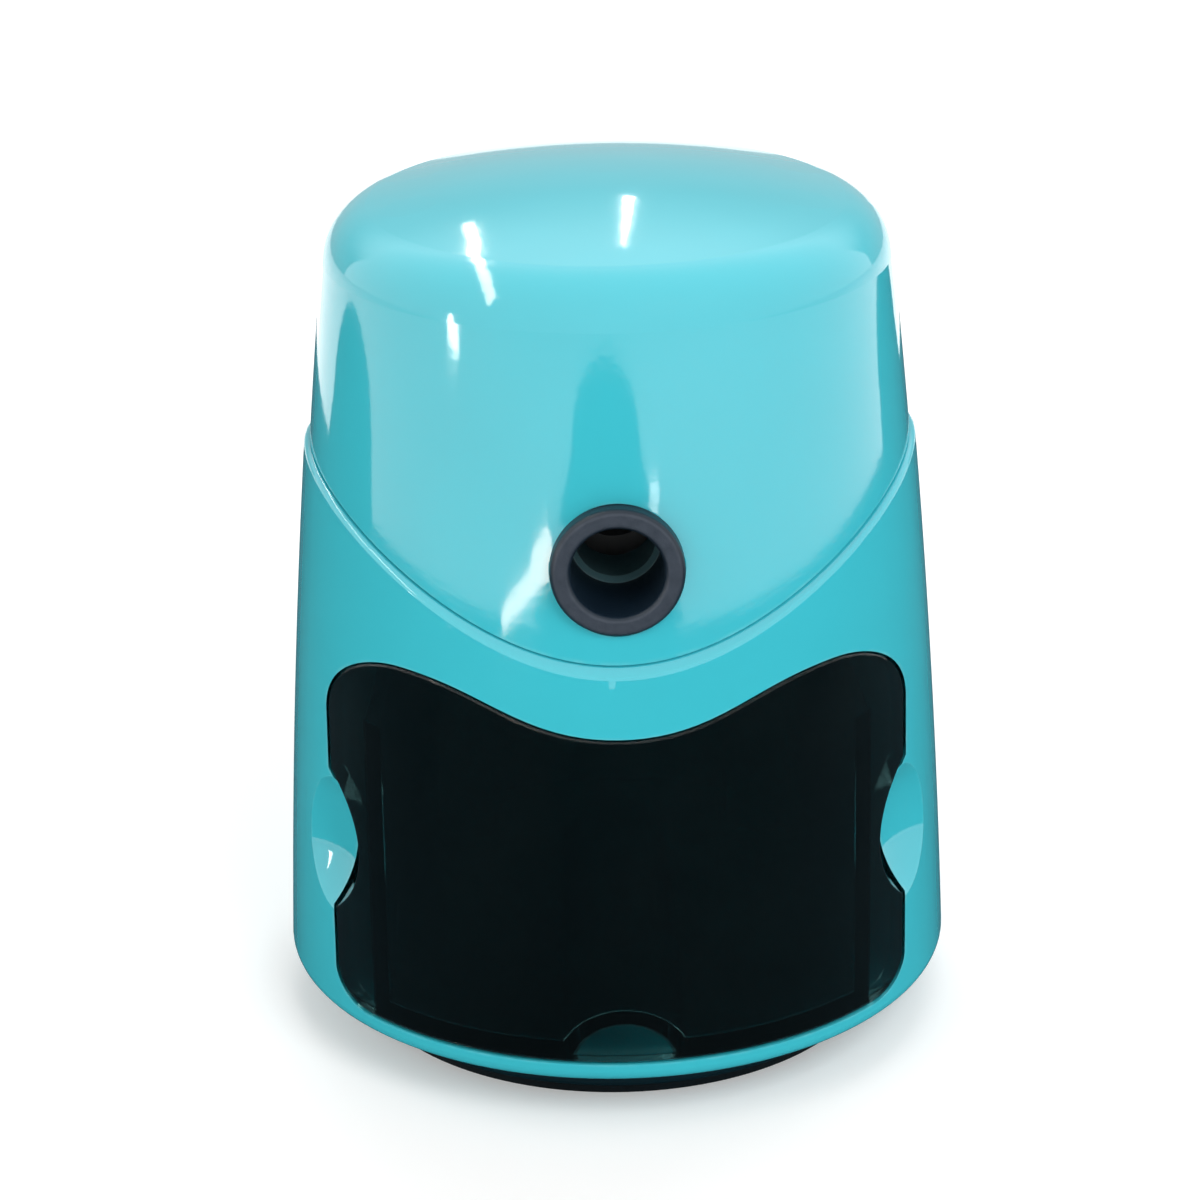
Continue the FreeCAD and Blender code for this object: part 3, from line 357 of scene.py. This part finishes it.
# A Mix node that mixes colours takes them at sockets 6 and 7 and gives the blend at 2.
def blend_colour(tree, share, first, second):
    mixed = put(tree, "Mix", {0: share, 6: first, 7: second}, data_type="RGBA")
    return mixed.outputs[2]


def relief_normal(tree, height, strength, distance, others=None):
    values = {"Height": height, "Strength": strength, "Distance": distance, **(others or {})}
    return put(tree, "Bump", values).outputs[0]


def moulded_finish(name, look, wear, worn_colour, strength, distance, others=None):
    finish, tree = new_finish(name)
    skin = use_group(tree, moulded_skin, look)
    worn = use_group(tree, edge_wear, wear)
    surface(tree, {
        "Base Color": blend_colour(tree, worn["Mask"], skin["Colour"], worn_colour),
        "Roughness": skin["Roughness"],
        "Normal": relief_normal(tree, skin["Height"], strength, distance),
        **(others or {}),
    })
    return finish


def cover_node(name, finish):
    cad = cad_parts[name]
    cad.data.materials.clear()
    cad.data.materials.append(finish)


turquoise_abs = moulded_finish("turquoise_abs", {
    "Colour": (0.046, 0.52, 0.62, 1), "Mottle": 0.025, "Roughness": 0.07, "Scuffs": 0.10,
    "Grain": 900.0,
}, {"Reach": 0.0005, "Amount": 0.35}, worn_colour=(0.22, 0.66, 0.72, 1),
    strength=0.016, distance=0.0003,
    others={"IOR": 1.53, "Coat Weight": 0.3, "Coat Roughness": 0.02})
cover_node("lower_housing", turquoise_abs)


# Upper cover. The domed lid, moulded in the same turquoise plastic and set in a little
# from the housing's rim. Two long screws from below hold it down over the tongue.
cover_node("upper_cover", turquoise_abs)


# Port bezel. A ring of charcoal nylon pressed into the cover's front. Its bore is smooth and
# painted nearly black as painted shade; where the flat face looks forward it is painted a patchy,
# lighter blue-grey as painted light.
charcoal_satin, tree = new_finish("charcoal_satin")
skin = use_group(tree, moulded_skin, {
    "Colour": (0.005, 0.013, 0.024, 1), "Mottle": 0.10, "Roughness": 0.42, "Scuffs": 0.18,
    "Grain": 4200.0,
})
wear = use_group(tree, edge_wear, {"Reach": 0.0007, "Amount": 0.45})
tint = blend_colour(tree, wear["Mask"], skin["Colour"], (0.025, 0.045, 0.065, 1))
# Painted light and shade: faces that look forward are blended to a lighter blue-grey in patches,
# and the bore keeps the dark colour as painted shade.
normal = put(tree, "NewGeometry").outputs["Normal"]
forward = put(tree, "SeparateXYZ", {"Vector": normal}).outputs["Y"]
lit_face = put(tree, "MapRange", {"Value": forward, "From Min": -0.80, "From Max": -0.97})
where = put(tree, "TexCoord").outputs["Object"]
bloom = put(tree, "TexNoise", {"Vector": where, "Scale": 900.0, "Detail": 3.0})
patchy = put(tree, "MapRange", {
    "Value": bloom.outputs["Fac"], "From Min": 0.2, "From Max": 0.6, "To Min": 0.6,
})
rub_and_lit_face = put(tree, "Math", {0: lit_face.outputs[0], 1: patchy.outputs[0]}, operation="MULTIPLY")
surface(tree, {
    "Base Color": blend_colour(tree, rub_and_lit_face.outputs[0], tint, (0.040, 0.052, 0.072, 1)),
    "Roughness": skin["Roughness"], "IOR": 1.5, "Specular IOR Level": 0.35,
    "Normal": relief_normal(tree, skin["Height"], strength=0.25, distance=0.0001),
})
cover_node("port_bezel", charcoal_satin)


# Pencil guide. A slate-coloured plate behind the bezel whose chamfered hole steers the
# pencil to the cutter. Its mouth is polished and greyed by graphite.
slate_acetal = moulded_finish("slate_acetal", {
    "Colour": (0.10, 0.22, 0.25, 1), "Mottle": 0.12, "Roughness": 0.30, "Scuffs": 0.22,
    "Grain": 2600.0,
}, {"Reach": 0.0006, "Amount": 0.6}, worn_colour=(0.20, 0.25, 0.27, 1),
    strength=0.2, distance=0.0001, others={"IOR": 1.48})
cover_node("pencil_guide", slate_acetal)


# Ring gear and mechanism frame. Grey glass-filled nylon, moulded with a dry, faintly
# streaked face. The gear's teeth shine where the pinion has run.
grey_nylon = moulded_finish("grey_nylon", {
    "Colour": (0.28, 0.29, 0.30, 1), "Mottle": 0.12, "Roughness": 0.46, "Scuffs": -0.15,
    "Grain": 2200.0,
}, {"Reach": 0.0005, "Amount": 0.4}, worn_colour=(0.45, 0.46, 0.47, 1),
    strength=0.25, distance=0.0002)
cover_node("ring_gear", grey_nylon)
cover_node("mechanism_frame", grey_nylon)


# Helical cutter, its pinion and spindle. Hardened tool steel, ground along the flutes,
# blued a little by heat, with graphite and wood dust in the hollows.
dust_dulling = 0.4
ground_metal, given, gives = new_group("ground_metal", [
    ("Colour", "NodeSocketColor", (0.6, 0.6, 0.6, 1)),
    ("Soil", "NodeSocketColor", (0.1, 0.09, 0.08, 1)),
    ("Soiling", "NodeSocketFloat", 0.3),
    ("Roughness", "NodeSocketFloat", 0.25),
    ("Strokes", "NodeSocketVector", (2500.0, 120.0, 2500.0)),
], [("Colour", "NodeSocketColor"), ("Roughness", "NodeSocketFloat"), ("Height", "NodeSocketFloat")])
tree = ground_metal
where = put(tree, "TexCoord").outputs["Object"]
drawn = put(tree, "VectorMath", {0: where, 1: given["Strokes"]}, operation="MULTIPLY")
strokes = put(tree, "TexNoise", {"Vector": drawn.outputs[0], "Scale": 1.0, "Detail": 4.0})
clouds = put(tree, "TexNoise", {"Vector": where, "Scale": 240.0, "Detail": 4.0})
settled = put(tree, "MapRange", {
    "Value": clouds.outputs["Fac"], "From Min": 0.48, "From Max": 0.72,
})
share = put(tree, "Math", {0: settled.outputs[0], 1: given["Soiling"]}, operation="MULTIPLY")
tint = blend_colour(tree, share.outputs[0], given["Colour"], given["Soil"])
spread = put(tree, "MapRange", {"Value": strokes.outputs["Fac"], "To Min": -0.12, "To Max": 0.16})
rough = put(tree, "Math", {0: spread.outputs[0], 1: given["Roughness"]}, operation="ADD")
dusty = put(tree, "Math", {
    0: share.outputs[0], 1: dust_dulling, 2: rough.outputs[0],
}, operation="MULTIPLY_ADD")
tree.links.new(tint, gives["Colour"])
tree.links.new(dusty.outputs[0], gives["Roughness"])
tree.links.new(strokes.outputs["Fac"], gives["Height"])


def metal_finish(name, look, strength, distance):
    finish, tree = new_finish(name)
    metal = use_group(tree, ground_metal, look)
    surface(tree, {
        "Base Color": metal["Colour"], "Roughness": metal["Roughness"], "Metallic": 1.0,
        "Normal": relief_normal(tree, metal["Height"], strength, distance),
    })
    return finish


tool_steel = metal_finish("tool_steel", {
    "Colour": (0.46, 0.47, 0.49, 1), "Soil": (0.055, 0.048, 0.042, 1), "Soiling": 0.75,
    "Roughness": 0.26, "Strokes": (2600.0, 260.0, 2600.0),
}, strength=0.2, distance=0.00008)
for name in ("helical_cutter", "cutter_pinion", "cutter_spindle"):
    cover_node(name, tool_steel)


# Cutter carrier. The cage that swings the cutter round the pencil, moulded in the same
# grey nylon as the frame whose ring it runs in.
cover_node("cutter_carrier", grey_nylon)


# Rear bushing. Sintered bronze soaked in oil, pressed into the frame's rear plate.
# The pores leave a fine speckle and the oil darkens it.
oiled_bronze = metal_finish("oiled_bronze", {
    "Colour": (0.50, 0.30, 0.13, 1), "Soil": (0.14, 0.08, 0.035, 1), "Soiling": 0.6,
    "Roughness": 0.34, "Strokes": (3200.0, 3200.0, 3200.0),
}, strength=0.35, distance=0.0001)
cover_node("rear_bushing", oiled_bronze)


# Drive shaft, its retaining clip and the knob's shouldered pin. Bright drawn steel,
# turned on a lathe, so the fine marks run round the axis.
bright_steel = metal_finish("bright_steel", {
    "Colour": (0.60, 0.61, 0.62, 1), "Soil": (0.20, 0.18, 0.15, 1), "Soiling": 0.25,
    "Roughness": 0.22, "Strokes": (180.0, 5200.0, 180.0),
}, strength=0.15, distance=0.00006)
for name in ("drive_shaft", "shaft_clip", "knob_pin"):
    cover_node(name, bright_steel)


# Crank arm and base plate. Black polypropylene with a fine leather-like grain from the
# mould, a little paler on the rubbed corners.
black_grain = moulded_finish("black_grain", {
    "Colour": (0.003, 0.022, 0.032, 1), "Mottle": 0.2, "Roughness": 0.50, "Scuffs": 0.2,
    "Grain": 1600.0,
}, {"Reach": 0.0008, "Amount": 0.3}, worn_colour=(0.012, 0.034, 0.044, 1),
    strength=0.35, distance=0.00015, others={"Specular IOR Level": 0.15})
cover_node("crank_arm", black_grain)
cover_node("base_plate", black_grain)


# Crank knob. A grip of the bezel's charcoal plastic that turns freely on its pin. It is
# moulded with a waist near the arm and a full belly for the fingers.
cover_node("crank_knob", charcoal_satin)


# Shavings drawer. Smoked acrylic polished in the mould, edges and all: nearly black from
# outside, with the housing's guide rail just showing through at the bottom of the front.
# Use has left a few specks of grit in the polish.
smoked_acrylic, tree = new_finish("smoked_acrylic")
skin = use_group(tree, moulded_skin, {
    "Colour": (0.085, 0.215, 0.215, 1), "Mottle": 0.25, "Roughness": 0.04, "Scuffs": 0.12,
    "Grain": 500.0,
})
where = put(tree, "TexCoord").outputs["Object"]
grit = put(tree, "TexVoronoi", {"Vector": where, "Scale": 130.0})
specks = put(tree, "MapRange", {
    "Value": grit.outputs["Distance"], "From Min": 0.035, "From Max": 0.02, "To Max": 6.0,
})
marked = put(tree, "Math", {0: specks.outputs[0], 1: skin["Height"]}, operation="ADD")
polished_edge = put(tree, "Bevel", {"Radius": 0.00045}, samples=4).outputs[0]
surface(tree, {
    "Base Color": skin["Colour"], "Roughness": skin["Roughness"], "IOR": 1.49,
    "Transmission Weight": 1.0,
    "Normal": relief_normal(tree, marked.outputs[0], strength=0.03, distance=0.0003,
                            others={"Normal": polished_edge}),
})
cover_node("drawer", smoked_acrylic)


# Foot pad. A disc of black rubber glued into the base so that the sharpener stays put.
# It is matt, dusty, and ribbed in rings.
rib_height = 2.0
foot_rubber, tree = new_finish("foot_rubber")
skin = use_group(tree, moulded_skin, {
    "Colour": (0.003, 0.008, 0.011, 1), "Mottle": 0.3, "Roughness": 0.78, "Scuffs": 0.15,
    "Grain": 1300.0,
})
where = put(tree, "TexCoord").outputs["Object"]
rings = put(tree, "TexWave", {
    "Vector": where, "Scale": 160.0,
}, wave_type="RINGS", rings_direction="Z")
ribbed = put(tree, "Math", {
    0: rings.outputs["Fac"], 1: rib_height, 2: skin["Height"],
}, operation="MULTIPLY_ADD")
surface(tree, {
    "Base Color": skin["Colour"], "Roughness": skin["Roughness"], "Specular IOR Level": 0.12,
    "Normal": relief_normal(tree, ribbed.outputs[0], strength=0.4, distance=0.0003),
})
cover_node("foot_pad", foot_rubber)


# Screws. Small cross-recess pan heads in zinc-plated steel, with a pale yellow tone
# left by the plating bath.
zinc_plate = metal_finish("zinc_plate", {
    "Colour": (0.58, 0.57, 0.52, 1), "Soil": (0.26, 0.23, 0.17, 1), "Soiling": 0.45,
    "Roughness": 0.30, "Strokes": (900.0, 900.0, 900.0),
}, strength=0.12, distance=0.0001)
for name in ("base_screws", "cover_screws", "frame_screws", "guide_screws", "crank_screw"):
    cover_node(name, zinc_plate)
